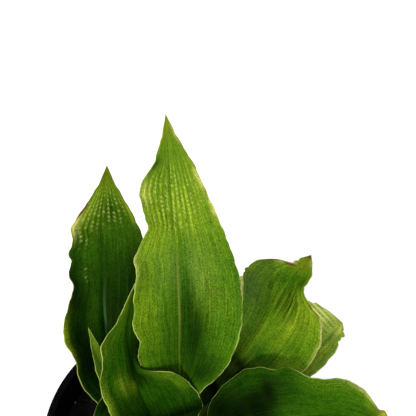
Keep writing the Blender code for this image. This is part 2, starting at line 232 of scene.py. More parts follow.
@dataclass
class Look:
    """Colours of one leaf. Tints and marks are (colour or kind, place across, place along,
    size across, size along, amount); across is -1 at the left margin and 1 at the right one,
    along is 0 at the base and 1 at the tip. Nicks are (side, place along, half of the nick's
    length along, depth). Margin, veins and rib say how strongly the pale edge, the veins and
    the line on the midrib show."""

    ground: tuple
    # Many tints are painted shade, where leaves overlap, in valleys and at the base; a few are painted
    # sheen or painted light
    tints: tuple = ()
    marks: tuple = ()
    nicks: tuple = ()
    margin: float = 0.7
    veins: float = 0.4
    rib_colour: tuple = (0.100, 0.130, 0.014)
    rib: float = 0.5


def plain_margin(half_width, wave):
    """Margin of a leaf that is widest at its middle, with the edge waving up and down."""
    stalk = BASE_HALF_WIDTH / half_width
    shape = ((0.1, 1.4 * stalk), (0.22, 0.55), (0.34, 0.86), (0.48, 1.0), (0.62, 0.95),
             (0.76, 0.72), (0.88, 0.38), (0.95, 0.15))
    rows = []
    for index, (along, width) in enumerate(shape, 1):
        lift = wave * (-1) ** index * math.sin(math.pi * along)
        rows.append((along, half_width * width, lift))
    return tuple(rows)


BLUNT_MARGIN = ((0.1, 3.1, 0.3), (0.22, 6, -0.6), (0.34, 9.5, 0.9), (0.48, 11, -1),
                (0.62, 10.4, 0.9), (0.76, 8, -0.7), (0.88, 5.4, 0.3), (0.96, 3.6, 0))

LEAVES = (Leaf(
    "leaf_back_tall", "leaf",
    midrib=((0.2, 4.8, 99), (-0.3, 14, 130), (-0.5, 31, 161), (-1.6, 47, 186), (-3, 62, 205),
            (-5.4, 82, 223.3)),
    face=((0, -1, 0.3), (0.05, -1, 0.7), (0.05, -1, 1)),
    left=((0.1, 5, 0), (0.2, 13.5, -5.5), (0.27, 18.3, -4), (0.34, 18.8, 2.8), (0.365, 17.4, 3.4),
          (0.385, 18.4, 3.8), (0.41, 20.3, 2.6), (0.46, 19.6, 1), (0.51, 19.2, 2), (0.54, 18.2, 3),
          (0.568, 17.5, 1.5), (0.604, 18.1, -0.5), (0.645, 15.3, -0.4), (0.69, 11.6, 1.3), (0.72, 12, 2),
          (0.78, 13.8, -1), (0.82, 12.5, 0.7), (0.86, 7.6, 1.9), (0.9, 5, 0), (0.95, 2.2, 0)),
    right=((0.1, 5, 0), (0.2, 10.4, 2), (0.3, 20.8, 5), (0.4, 26.1, 6), (0.48, 27.4, 3), (0.56, 26, 3),
           (0.64, 22.3, 1), (0.72, 18, 3), (0.8, 13.2, 1), (0.86, 9.8, 0.3), (0.9, 6.7, 0))
), Leaf(
    "leaf_back_left", "dark_leaf",
    midrib=((-7.6, 3.4, 94), (-21, 7, 118), (-30, 18, 133), (-33, 34, 149), (-33, 48, 165), (-33, 62, 181),
            (-31, 77.2, 197.8)),
    face=((0.6, -0.6, 0.6), (0.3, -1, 0.8), (0.1, -1, 0.8)),
    left=((0.1, 4, 0), (0.2, 10.5, -1), (0.3, 14.8, 1), (0.36, 16.8, 1), (0.4, 16, 1.5), (0.46, 19.4, 3),
          (0.5, 19.4, 1.5), (0.55, 17, 0), (0.62, 13.9, 2), (0.665, 15.6, 0), (0.7, 14.3, -1),
          (0.73, 15.2, 0.8), (0.77, 13.2, 2), (0.805, 13.9, 0.8), (0.83, 11.8, 0.6), (0.86, 9, 0),
          (0.93, 3.6, 0)),
    right=((0.1, 4, 0), (0.2, 7, 0), (0.3, 10, 2), (0.4, 14, 1), (0.5, 17, 2), (0.6, 19, 0), (0.7, 18.5, 1),
           (0.78, 17, 0), (0.86, 12.3, 0), (0.94, 5, 0))
), Leaf(
    "leaf_left_inner", "leaf",
    midrib=((-3.4, -5.2, 99), (-11, -2, 118), (-18, 7, 136), (-22, 21, 151), (-19, 39, 166)),
    face=((0.7, -0.2, 0.6), (0.5, -0.8, 1), (0.4, -0.8, 0.8)),
    left=((0.1, 6, 0), (0.2, 11, 1), (0.3, 15, 2), (0.4, 17, 0), (0.5, 17.6, 2), (0.56, 17, 0.5),
          (0.59, 15.7, 0), (0.62, 13.9, 0.3), (0.65, 13.1, 0.8), (0.68, 13.3, 1), (0.71, 12.8, 1),
          (0.8, 6, 0), (0.9, 3, 0)),
    right=((0.1, 10, 0), (0.2, 19, 3), (0.3, 21, 4.5), (0.4, 20.4, 1.8), (0.46, 18, 0.5), (0.5, 15.6, 2),
           (0.525, 11.2, 2.6), (0.545, 5.6, 0.5), (0.565, 3.5, -0.8), (0.59, 3, -1.5), (0.64, 4, -4),
           (0.7, 6, -5), (0.8, 6, -2), (0.9, 3, 0))
), Leaf(
    "leaf_left_young", "leaf",
    midrib=((-5, 0.6, 98.5), (-15, 1, 113), (-26, 6, 128), (-34, 15, 141), (-39, 25, 153.2)),
    face=((0.8, -0.2, 0.6), (0.4, -0.7, 1), (0.3, -0.8, 1)),
    left=((0.3, 1.8, 0), (0.5, 2.4, 0), (0.65, 4.6, 0), (0.8, 2.6, 0)),
    right=((0.3, 2, 0), (0.6, 2.2, 0), (0.8, 3, 0)),
    base=1.6
), Leaf(
    "leaf_back_low", "pale_leaf",
    midrib=((0, 8.3, 94), (4, 17, 108), (11, 29, 122), (20, 40, 136), (27.4, 55, 149)),
    face=((0, -0.8, 0.6), (0, -0.8, 0.8), (0, -0.6, 1)),
    left=BLUNT_MARGIN,
    right=BLUNT_MARGIN
), Leaf(
    "leaf_back_right", "leaf",
    midrib=((5.8, 6.4, 94), (19, 12, 117), (34, 26, 136), (47, 40, 151), (57, 56, 163)),
    face=((-0.6, -0.6, 0.6), (-0.4, -0.6, 1), (-0.2, -0.5, 1)),
    left=((0.1, 4, 0), (0.2, 9, 0), (0.3, 13, 0), (0.5, 15, 0), (0.6, 16, 0), (0.7, 19, 0), (0.8, 23.5, 1),
          (0.88, 20.3, 0), (0.92, 13.3, 0), (0.935, 7.5, 0), (0.95, 5.7, 0)),
    right=((0.1, 4, 0), (0.2, 8, 1), (0.3, 13, 3), (0.4, 18, 4), (0.5, 22, 5), (0.6, 24.5, 4),
           (0.7, 23.7, 3), (0.75, 20.4, 1), (0.775, 18.2, 0.5), (0.79, 16, 0.5), (0.797, 13.2, 0.5),
           (0.805, 11.6, 0.8), (0.815, 8.6, 1.2), (0.83, 6, 1.8), (0.86, 4.5, 2.3), (0.92, 4.7, 1.4),
           (0.96, 2.8, 0))
), Leaf(
    "leaf_right_low", "pale_leaf",
    midrib=((8.6, 1.6, 93.5), (22, 6, 108), (40, 15, 123), (58, 27, 132), (73, 41.5, 131)),
    face=((-0.8, -0.2, 0.6), (-0.4, -0.4, 1), (0, -0.2, 1)),
    left=((0.1, 3.5, 0), (0.2, 5, 0), (0.3, 8, 0), (0.5, 15, 1), (0.7, 20, 0), (0.85, 19, 1), (0.94, 18, 0),
          (0.98, 12, 0)),
    right=((0.1, 4, 0), (0.3, 7, 0), (0.5, 8, 0), (0.7, 9.8, 0), (0.84, 8.2, 0), (0.9, 6, 0), (0.95, 5, 0))
), Leaf(
    "leaf_right", "leaf",
    midrib=((8, -3.3, 94), (23, -4, 118), (46, -7, 134), (68, -9, 140), (91, -10, 131)),
    face=((-0.8, 0, 0.6), (-0.3, -0.5, 1), (0.2, -0.5, 1)),
    left=((0.1, 5, 0), (0.2, 12, 0), (0.3, 18, 1), (0.4, 22.8, 0), (0.47, 22.8, 0.5), (0.52, 20.9, 1),
          (0.58, 20.7, 0), (0.65, 15.6, 2), (0.69, 14.9, 1), (0.74, 15, 0), (0.79, 13.3, 1), (0.84, 9.8, 1),
          (0.865, 7.8, 0.8), (0.89, 5.9, 0.4), (0.907, 5.2, 0), (0.925, 5.4, 0), (0.95, 3.4, 0)),
    right=((0.1, 4.5, 0), (0.2, 11, 0), (0.3, 18, 1), (0.4, 22, -1), (0.5, 24, 2), (0.6, 23, -1),
           (0.7, 19, 1), (0.8, 14, 0), (0.9, 8, 0))
), Leaf(
    "leaf_front_left", "dark_leaf",
    midrib=((-8, -2.2, 94), (-15, -5, 107), (-22, -4, 119), (-28, 0, 131), (-33, -7, 132),
            (-34.5, -17, 124), (-33, -26, 113)),
    face=((0.9, 0.2, 0.5), (0.2, -0.6, 1), (-0.3, -0.5, 1)),
    left=((0.15, 3, 0), (0.3, 5, 0), (0.45, 7, 1), (0.6, 8, -1), (0.75, 7, 0), (0.88, 4, 0)),
    right=((0.15, 2.5, 0), (0.3, 3, 0), (0.45, 4, 1), (0.55, 6.2, 1), (0.6, 5.6, 1), (0.64, 3.9, 0.5),
           (0.7, 3.2, 0), (0.88, 3.5, 0))
), Leaf(
    "leaf_front", "leaf",
    midrib=((-0.5, -8.3, 94), (-1, -22, 110), (-3, -39, 118), (-6, -57, 116), (-8, -73, 106)),
    face=((0, 0.8, 0.6), (0, 0.3, 1), (0, -0.4, 1)),
    left=plain_margin(15, 2),
    right=plain_margin(17, -2)
), Leaf(
    "leaf_front_right", "leaf",
    midrib=((5, -7.1, 94), (17, -18, 105), (32, -30, 111), (46, -41, 107), (57, -51, 96)),
    face=((-0.5, 0.7, 0.6), (-0.2, 0.3, 1), (0.2, -0.3, 1)),
    left=plain_margin(17, 1.5),
    right=plain_margin(14, -1.5)
))

# The darkest greens in these tints are painted shade: at each leaf's base, where leaves overlap and along
# folds
LOOKS = {"leaf_back_tall": Look(
    ground=(0.058, 0.124, 0.005), margin=0.6, rib=0.8, veins=0.7,
    tints=(
        (BRIGHT, 0, 0.73, 1.3, 0.1, 0.35), (BRIGHT, 0.8, 0.83, 0.3, 0.06, 0.7),
        (PAINTED_SHEEN, 0.05, 0.55, 0.8, 0.08, 0.9), (BRIGHT, -0.75, 0.67, 0.4, 0.07, 0.5),
        ((0.12, 0.155, 0.012), 0, 0.98, 1.5, 0.04, 0.9), (STRAW, 0.98, 0.82, 0.12, 0.035, 0.8),
        (STRAW, 1, 0.74, 0.07, 0.025, 0.9), (STRAW, -0.95, 0.79, 0.22, 0.03, 0.4),
        (STRAW, -1, 0.945, 0.12, 0.04, 0.5), (STRAW, -1, 0.59, 0.07, 0.04, 0.9),
        (STRAW, -1, 0.39, 0.05, 0.02, 0.8), (STRAW, 1, 0.96, 0.25, 0.04, 0.9),
        (SHADOW, -0.95, 0.865, 0.3, 0.018, 0.9), (MEADOW, 0, 0.28, 2.5, 0.2, 1),
        ((0.075, 0.138, 0.004), -0.85, 0.46, 0.35, 0.12, 0.9),
        # The olive patch right of the midrib at the middle is painted sheen; the dark greens that follow
        # are painted shade down the valley beside the midrib, at the base and where leaf_left_inner shades
        # the base
        ((0.085, 0.15, 0.014), 0.32, 0.57, 0.16, 0.05, 0.7), (LEAF, 0.85, 0.55, 0.28, 0.1, 0.7),
        (LEAF, 0.85, 0.4, 0.12, 0.05, 0.6), (LEAF, 0.1, 0.63, 0.06, 0.06, 0.8),
        (LEAF, 0.13, 0.54, 0.08, 0.06, 1), (SHADOW, 0.13, 0.49, 0.09, 0.06, 0.6),
        (LEAF, -0.15, 0.45, 0.2, 0.1, 0.8), (PAINTED_SHADE, 0.14, 0.44, 0.14, 0.08, 0.9),
        (SHADOW, 0.1, 0.35, 0.65, 0.09, 0.8), (SHADOW, 0, 0.31, 1.2, 0.03, 0.3),
        (PAINTED_SHADE, 0.28, 0.36, 0.22, 0.1, 1), ((0.002, 0.015, 0.0004), 0.28, 0.36, 0.14, 0.07, 0.9),
        (PAINTED_SHADE, 0.6, 0.26, 0.5, 0.06, 1), (PAINTED_SHADE, -0.3, 0.25, 0.6, 0.04, 0.6),
        (OLIVE, 0.5, 0.5, 0.2, 0.06, 0.2)),
    marks=(
        ("dots", 0, 0.77, 0.75, 0.1, 1), ("dots", -0.8, 0.76, 0.25, 0.06, 0.6),
        ("brown", -0.97, 0.32, 0.05, 0.015, 0.6), ("brown", 0, 1, 1.5, 0.008, 0.8),
        ("brown", 0.99, 0.87, 0.04, 0.05, 0.55), ("brown", -0.99, 0.77, 0.04, 0.04, 0.5))
), "leaf_back_left": Look(
    # Painted shade over the whole leaf, near black in its lower half
    ground=SHADOW, margin=0.45, rib_colour=(0.05, 0.14, 0.045),
    tints=(
        (FRESH, 0, 0.93, 1.5, 0.05, 0.9), (BRIGHT, -0.7, 0.91, 0.45, 0.03, 0.7),
        (OLIVE, 0, 1, 1.5, 0.05, 1), ((0.034, 0.085, 0.002), -0.3, 0.86, 1, 0.08, 0.8),
        (BRIGHT, -0.75, 0.86, 0.3, 0.05, 0.6), (STRAW, -0.95, 0.81, 0.14, 0.03, 0.9),
        (PAINTED_SHADE, 0.25, 0.86, 0.2, 0.05, 0.9), (BRIGHT, 0.97, 0.86, 0.14, 0.06, 0.8),
        (LEAF, 0.65, 0.77, 0.4, 0.07, 0.6), (LEAF, -0.35, 0.74, 0.25, 0.05, 0.4),
        (PAINTED_SHADE, 0.07, 0.66, 0.08, 0.14, 0.7), (PAINTED_DEEP_SHADE, 0.75, 0.64, 0.3, 0.12, 0.9),
        (PAINTED_DEEP_SHADE, -0.98, 0.62, 0.22, 0.1, 0.9), (PAINTED_SHADE, 0.35, 0.62, 0.35, 0.1, 0.6),
        (PAINTED_DEEP_SHADE, -0.65, 0.48, 0.3, 0.12, 0.8), (PAINTED_DEEP_SHADE, 0.2, 0.53, 0.5, 0.1, 0.7),
        (PAINTED_DEEP_SHADE, -0.8, 0.57, 0.3, 0.04, 0.6), (LEAF, -0.28, 0.54, 0.12, 0.07, 0.4),
        (BRIGHT, -1, 0.46, 0.1, 0.06, 1), (PAINTED_DEEP_SHADE, -0.6, 0.38, 0.8, 0.08, 1), (PAINTED_SHADE, 0, 0.15, 2, 0.14, 1)),
    marks=(
        ("dots", -0.1, 0.87, 1, 0.06, 0.9), ("dots", -0.65, 0.8, 0.3, 0.05, 0.9),
        ("dots", -0.5, 0.66, 0.12, 0.05, 0.5), ("brown", -0.97, 0.86, 0.12, 0.03, 0.9))
), "leaf_left_inner": Look(
    # Dark ground with painted shade along the valley by the midrib, below the lobe and at the base
    ground=(0.009, 0.043, 0.0006), rib=0,
    tints=(
        (FRESH, -0.8, 0.88, 0.5, 0.1, 0.6), (LEAF, -0.6, 0.77, 0.35, 0.06, 0.7),
        ((0.035, 0.075, 0.003), -0.9, 0.7, 0.3, 0.05, 0.7), (PAINTED_SHADE, -0.95, 0.61, 0.15, 0.03, 0.7),
        (PAINTED_SHADE, 0.15, 0.68, 0.28, 0.12, 0.9), (PAINTED_DEEP_SHADE, 0.1, 0.6, 0.28, 0.1, 1),
        (BRIGHT, -0.42, 0.52, 0.16, 0.05, 0.4), (PAINTED_DEEP_SHADE, 0.12, 0.53, 0.22, 0.05, 0.8),
        (PAINTED_SHADE, -0.25, 0.4, 0.3, 0.06, 0.6), (BRIGHT, -0.98, 0.48, 0.14, 0.09, 0.9),
        (PAINTED_SHADE, -0.6, 0.4, 0.35, 0.06, 1), ((0.065, 0.085, 0.002), -0.14, 0.49, 0.08, 0.03, 0.7),
        (PAINTED_SHADE, 0.05, 0.51, 0.06, 0.04, 0.7), (PAINTED_SHADE, 0.45, 0.5, 0.2, 0.05, 0.5),
        (FRESH, 0.85, 0.5, 0.3, 0.04, 0.6), (FRESH, 0.9, 0.42, 0.15, 0.05, 0.5),
        ((0.004, 0.024, 0.0005), 0.1, 0.34, 0.8, 0.06, 0.8), (PAINTED_DEEP_SHADE, -0.4, 0.31, 0.5, 0.06, 1),
        (PAINTED_DEEP_SHADE, 0.5, 0.24, 1.2, 0.06, 1), (PAINTED_DEEP_SHADE, 0, 0.12, 2, 0.1, 1))
), "leaf_left_young": Look(
    ground=(0.04, 0.092, 0.004), margin=0.5,
    tints=((BRIGHT, -0.1, 0.9, 0.6, 0.06, 0.5), (PAINTED_SHADE, 0, 0.15, 2, 0.2, 1))
), "leaf_back_low": Look(
    ground=PAINTED_SHADE_SHEEN, margin=0.8,
    tints=(
        # The palest tint is painted light, lightening a tip that stands in shade
        (PALE, 0, 1, 2, 0.4, 1), ((0.8, 0.86, 0.32), 0, 1, 2, 0.2, 1), (PAINTED_SHADE, 0, 0.1, 2, 0.2, 1))
), "leaf_back_right": Look(
    ground=(0.066, 0.14, 0.005), rib=0.1,
    tints=(
        (PAINTED_SHADE_SHEEN, -0.9, 0.74, 0.35, 0.15, 0.9), (LEAF, -0.25, 0.86, 0.25, 0.07, 0.9),
        (LEAF, 0.4, 0.87, 0.6, 0.04, 1), (OLIVE, -0.1, 0.97, 1, 0.05, 0.8),
        (STRAW, -0.95, 0.93, 0.2, 0.02, 0.7), (BRIGHT, 0.6, 0.78, 0.35, 0.05, 0.8),
        (BRIGHT, 0.3, 0.69, 0.15, 0.06, 0.9), (LEAF, 0.62, 0.62, 0.2, 0.04, 0.6),
        (BRIGHT, -0.95, 0.84, 0.12, 0.05, 0.8), (STRAW, 0.8, 0.97, 0.4, 0.02, 0.4),
        (STRAW, 0.995, 0.74, 0.035, 0.08, 1), (PAINTED_FURROW_SHADE, -0.05, 0.77, 0.2, 0.06, 0.6),
        (LEAF, -0.25, 0.69, 0.18, 0.06, 0.5), (LEAF, 0.7, 0.64, 0.25, 0.03, 0.4),
        # Painted shadow cast by leaf_right across the lower middle, then painted light on the left edge and
        # painted deep shade at the base
        ((0.015, 0.064, 0.003), 0.18, 0.515, 0.4, 0.055, 1),
        ((0.075, 0.18, 0.013), -0.78, 0.6, 0.3, 0.09, 0.9), (PAINTED_DEEP_SHADE, -0.2, 0.43, 0.4, 0.05, 1),
        (PAINTED_DEEP_SHADE, -0.2, 0.355, 1.2, 0.075, 1), (PAINTED_DEEP_SHADE, -0.4, 0.28, 0.9, 0.09, 1),
        (PAINTED_DEEP_SHADE, 0, 0.12, 2, 0.2, 1)),
    marks=(
        ("furrow", 0.08, 0.77, 0.38, 0.08, 1), ("furrow", 0.6, 0.88, 0.4, 0.05, 0.6),
        ("brown", -0.6, 0.925, 0.25, 0.008, 0.9), ("brown", -0.97, 0.92, 0.08, 0.03, 0.7),
        ("brown", 0.97, 0.8, 0.08, 0.02, 0.8), ("brown", 0, 1, 1.5, 0.025, 0.9),
        ("brown", 1, 0.93, 0.12, 0.04, 0.6)),
    nicks=(("left", 0.935, 0.01, 1.4), ("left", 0.955, 0.008, 0.8), ("left", 0.83, 0.01, 0.5),
           ("left", 0.8, 0.012, 0.6), ("right", 0.8, 0.012, 1.3), ("right", 0.775, 0.008, 0.9),
           ("right", 0.86, 0.01, 0.5))
), "leaf_right_low": Look(
    ground=(0.15, 0.24, 0.024), rib=0,
    tints=(
        ((0.42, 0.5, 0.09), -0.8, 0.94, 0.5, 0.06, 1), (PALE, 0.35, 0.96, 0.4, 0.05, 1),
        (STRAW, 0.2, 0.97, 0.15, 0.02, 0.5), (BRIGHT, 0.5, 0.8, 0.6, 0.05, 0.4),
        (PAINTED_SHADE_SHEEN, 0.25, 0.88, 0.3, 0.05, 0.7), (PAINTED_SHADE, 0, 0.2, 2, 0.3, 1)),
    marks=(
        ("bars", -0.7, 0.93, 0.4, 0.05, 1), ("brown", -1, 0.95, 0.04, 0.05, 0.7),
        ("brown", 1, 0.92, 0.05, 0.06, 0.6)),
    nicks=(("left", 0.9, 0.01, 0.8), ("left", 0.93, 0.008, 1.1), ("left", 0.955, 0.01, 1.5),
           ("left", 0.978, 0.007, 1.8), ("right", 0.96, 0.008, 0.9), ("right", 0.925, 0.01, 0.8),
           ("right", 0.89, 0.012, 0.6))
), "leaf_right": Look(
    ground=(0.011, 0.048, 0.0008), margin=0.6, rib=0.4, veins=0.2,
    # Dark ground with painted deep shade over the left half and at the base
    tints=(
        (FRESH, -0.95, 0.77, 0.25, 0.12, 0.9), (STRAW, -1, 0.8, 0.1, 0.05, 0.7),
        (LEAF, -0.5, 0.78, 0.5, 0.1, 0.8), (FRESH, -0.7, 0.86, 0.4, 0.03, 0.6),
        (PAINTED_SHADE, 0, 0.86, 0.25, 0.03, 0.7), (STRAW, -1, 0.85, 0.12, 0.05, 0.8),
        ((0.22, 0.22, 0.02), -0.6, 0.925, 1, 0.025, 0.95), (LEAF, -0.05, 0.86, 0.2, 0.06, 0.8),
        (PAINTED_SHADE, -0.6, 0.56, 0.45, 0.04, 0.7), (PAINTED_SHADE, -0.7, 0.52, 0.25, 0.03, 0.8),
        (PAINTED_DEEP_SHADE, -0.55, 0.48, 0.36, 0.04, 1), (PAINTED_DEEP_SHADE, -0.1, 0.42, 0.45, 0.07, 1),
        (PAINTED_DEEP_SHADE, -0.35, 0.42, 0.3, 0.07, 1), (PAINTED_DEEP_SHADE, -0.3, 0.33, 0.45, 0.08, 1),
        (PAINTED_SHADE, -0.85, 0.38, 0.2, 0.07, 0.6), (PAINTED_DEEP_SHADE, -0.6, 0.26, 0.6, 0.09, 1),
        (PAINTED_DEEP_SHADE, 0, 0.15, 2, 0.12, 1)),
    marks=(("brown", -1, 0.89, 0.05, 0.02, 0.8),)
), "leaf_front_left": Look(
    # Painted shade all over, as it lies under leaf_left_inner
    ground=PAINTED_SHADE, margin=0.5, rib=0.4,
    tints=((PAINTED_DEEP_SHADE, 0.2, 0.6, 0.8, 0.1, 0.9), (SHADOW, 0, 0.85, 2, 0.2, 0.8))
), "leaf_front": Look(
    ground=(0.03, 0.08, 0.002),
    tints=(
        (FRESH, 0, 0.8, 1.2, 0.16, 0.7), (BRIGHT, -0.8, 0.7, 0.3, 0.15, 0.5),
        (LEAF, 0.5, 0.55, 0.4, 0.15, 0.5), (SHADOW, 0.1, 0.35, 0.35, 0.15, 0.9),
        (PAINTED_SHADE, 0, 0.12, 2, 0.16, 1)),
    marks=(("dots", 0.1, 0.74, 0.8, 0.1, 0.8), ("brown", 0, 1, 1.5, 0.02, 0.7))
), "leaf_front_right": Look(
    ground=(0.028, 0.078, 0.002),
    tints=(
        (FRESH, 0.1, 0.82, 1.2, 0.15, 0.7), (BRIGHT, 0.8, 0.68, 0.3, 0.12, 0.5),
        (SHADOW, -0.2, 0.35, 0.4, 0.15, 0.9), (PAINTED_SHADE, 0, 0.12, 2, 0.16, 1)),
    marks=(("dots", -0.1, 0.78, 0.8, 0.08, 0.8), ("brown", 0, 1, 1.5, 0.02, 0.8))
)}

MARK_KINDS = ("dots", "bars", "brown", "furrow")


def unit(vectors):
    """Vectors scaled to length one."""
    return vectors / np.linalg.norm(vectors, axis=-1, keepdims=True)


def curve_through(rows, at):
    """Smooth curve through rows of (position, value, ...), read at the given positions."""
    rows = np.asarray(rows, dtype=float)
    knots, values = rows[:, 0], rows[:, 1:]
    steps = np.diff(values, axis=0) / np.diff(knots)[:, None]
    slopes = np.empty_like(values)
    slopes[0], slopes[-1] = steps[0], steps[-1]
    slopes[1:-1] = (values[2:] - values[:-2]) / (knots[2:] - knots[:-2])[:, None]
    at = np.clip(np.asarray(at, dtype=float), knots[0], knots[-1])
    k = np.clip(np.searchsorted(knots, at, side="right") - 1, 0, len(knots) - 2)
    span = (knots[k + 1] - knots[k])[:, None]
    s = (at - knots[k])[:, None] / span
    start = (2 * s**3 - 3 * s**2 + 1) * values[k] + (s**3 - 2 * s**2 + s) * span * slopes[k]
    end = (3 * s**2 - 2 * s**3) * values[k + 1] + (s**3 - s**2) * span * slopes[k + 1]
    return start + end


def along_the_midrib(points, at):
    """Points on the midrib at fractions of its length."""
    reach = np.concatenate([[0], np.cumsum(np.linalg.norm(np.diff(points, axis=0), axis=1))])
    return curve_through(np.column_stack([reach / reach[-1], points]), at)


def length_of(points):
    """Length of the midrib from point to point."""
    return float(np.linalg.norm(np.diff(points, axis=0), axis=1).sum())


def margin_of(leaf, look, side, at):
    """Half-width and lift of one margin, with its small waves and nicks."""
    rows = ((0, leaf.base, 0), *getattr(leaf, side), (1, 0, 0))
    half_width, lift = curve_through(rows, at).T
    half_width = np.maximum(half_width, 0)
    distance = at * length_of(leaf.midrib)
    start = sum(map(ord, leaf.name + side))
    fullness = np.clip(half_width / FULL_WOBBLE_FROM, 0, 1)
    for wave, height in WOBBLES:
        turn = 2 * math.pi * distance / wave + start * wave
        half_width = half_width - height * fullness * (1 + np.sin(turn))
    for nick_side, place, half_length, depth in look.nicks:
        if nick_side == side:
            half_width = half_width - depth * np.clip(1 - np.abs(at - place) / half_length, 0, 1)
    return np.maximum(half_width, 0), lift


def leaf_surface(leaf, look, at, columns):
    """Middle surface of a leaf and its half-widths, one row across it at each fraction."""
    middle = along_the_midrib(leaf.midrib, at)
    ahead = along_the_midrib(leaf.midrib, np.minimum(at + FIRST_DIFFERENCE, 1))
    behind = along_the_midrib(leaf.midrib, np.maximum(at - FIRST_DIFFERENCE, 0))
    tangent = unit(ahead - behind)
    face = curve_through(np.column_stack([(0, 0.5, 1), leaf.face]), at)
    sideways = unit(np.cross(tangent, face))
    upwards = np.cross(sideways, tangent)
    rise = np.radians(np.interp(at, *np.transpose(TROUGH)))[:, None]
    points = np.empty((len(at), len(columns), 3))
    half_widths = np.empty((len(at), len(columns)))
    margins = {side: margin_of(leaf, look, side, at) for side in ("left", "right")}
    for j, column in enumerate(columns):
        half_width, lift = margins["left" if column < 0 else "right"]
        reach = (half_width * abs(column))[:, None]
        out = reach * np.cos(rise) * math.copysign(1, column)
        up = reach * np.sin(rise) + lift[:, None] * abs(column) ** CURL_POWER
        points[:, j] = middle + sideways * out + upwards * up
        half_widths[:, j] = half_width
    return points, half_widths


def leaf_thickness(at, columns):
    """Thick stalk and midrib, thin edges."""
    stalk = np.clip(1 - at / STALK_LENGTH, 0, 1)[:, None]
    out = np.abs(columns)[None, :]
    centre = (1 - out) ** 2 * (1 - at[:, None])
    blade = BLADE_THICKNESS + (MIDRIB_THICKNESS - BLADE_THICKNESS) * centre
    thickness = blade + (STALK_THICKNESS - BLADE_THICKNESS) * stalk * (1 - 0.5 * out)
    edge = np.clip((out - EDGE_START) / (1 - EDGE_START), 0, 1)
    return thickness * (1 - edge) + EDGE_THICKNESS * edge


def spot(at, columns, across, along, size_across, size_along):
    """A soft round spot on the leaf's grid, 1 at its middle."""
    x = (columns[None, :] - across) / size_across
    y = (at[:, None] - along) / size_along
    return np.exp(-(x**2 + y**2))


def painted(look, at, columns):
    """Colour of the leaf's upper side at each point of its grid."""
    # The tints paint shade, sheen and light as well as the leaf's own colour
    colour = np.broadcast_to(look.ground, (len(at), len(columns), 3)).astype(float)
    for tint, *place, amount in look.tints:
        weight = (amount * spot(at, columns, *place))[:, :, None]
        colour = colour * (1 - weight) + np.array(tint) * weight
    return colour


def marked(look, at, columns, kind):
    """How strongly one kind of mark shows at each point of the leaf's grid."""
    value = np.zeros((len(at), len(columns)))
    for mark, *place, amount in look.marks:
        if mark == kind:
            value += amount * spot(at, columns, *place)
    return np.clip(value, 0, 1)


def leaf_faces(rows, across):
    """The cap at the base, then strips of quads along both faces and edges, to the tip."""
    below = rows * across
    last = below - across
    faces = [(j + 1, j, j + below, j + 1 + below) for j in range(across - 1)]
    ring = [*range(across), *reversed(range(below, below + across))]
    for a, b in zip(ring, ring[1:] + ring[:1]):
        for row in range(0, last, across):
            faces.append((a + row, b + row, b + row + across, a + row + across))
        faces.append((a + last, b + last, 2 * below))
    return faces


def add_piece(name, vertices, faces, crease=None):
    """A smooth piece from points in millimetres, sharp where it bends more than the crease."""
    mesh = bpy.data.meshes.new(name)
    mesh.from_pydata((np.asarray(vertices) * MM).tolist(), [], faces)
    shape = bmesh.new()
    shape.from_mesh(mesh)
    bmesh.ops.recalc_face_normals(shape, faces=shape.faces)
    shape.to_mesh(mesh)
    shape.free()
    mesh.shade_smooth()
    if crease is not None:
        mesh.set_sharp_from_angle(angle=crease)
    piece = bpy.data.objects.new(name, mesh)
    bpy.context.collection.objects.link(piece)
    return piece


def add_values(piece, name, values):
    """Store a number or three for each point of the piece, for its material to read."""
    values = np.asarray(values, dtype=np.float32)
    kind, field = ("FLOAT", "value") if values.ndim == 1 else ("FLOAT_VECTOR", "vector")
    attribute = piece.data.attributes.new(name, kind, "POINT")
    attribute.data.foreach_set(field, values.ravel())


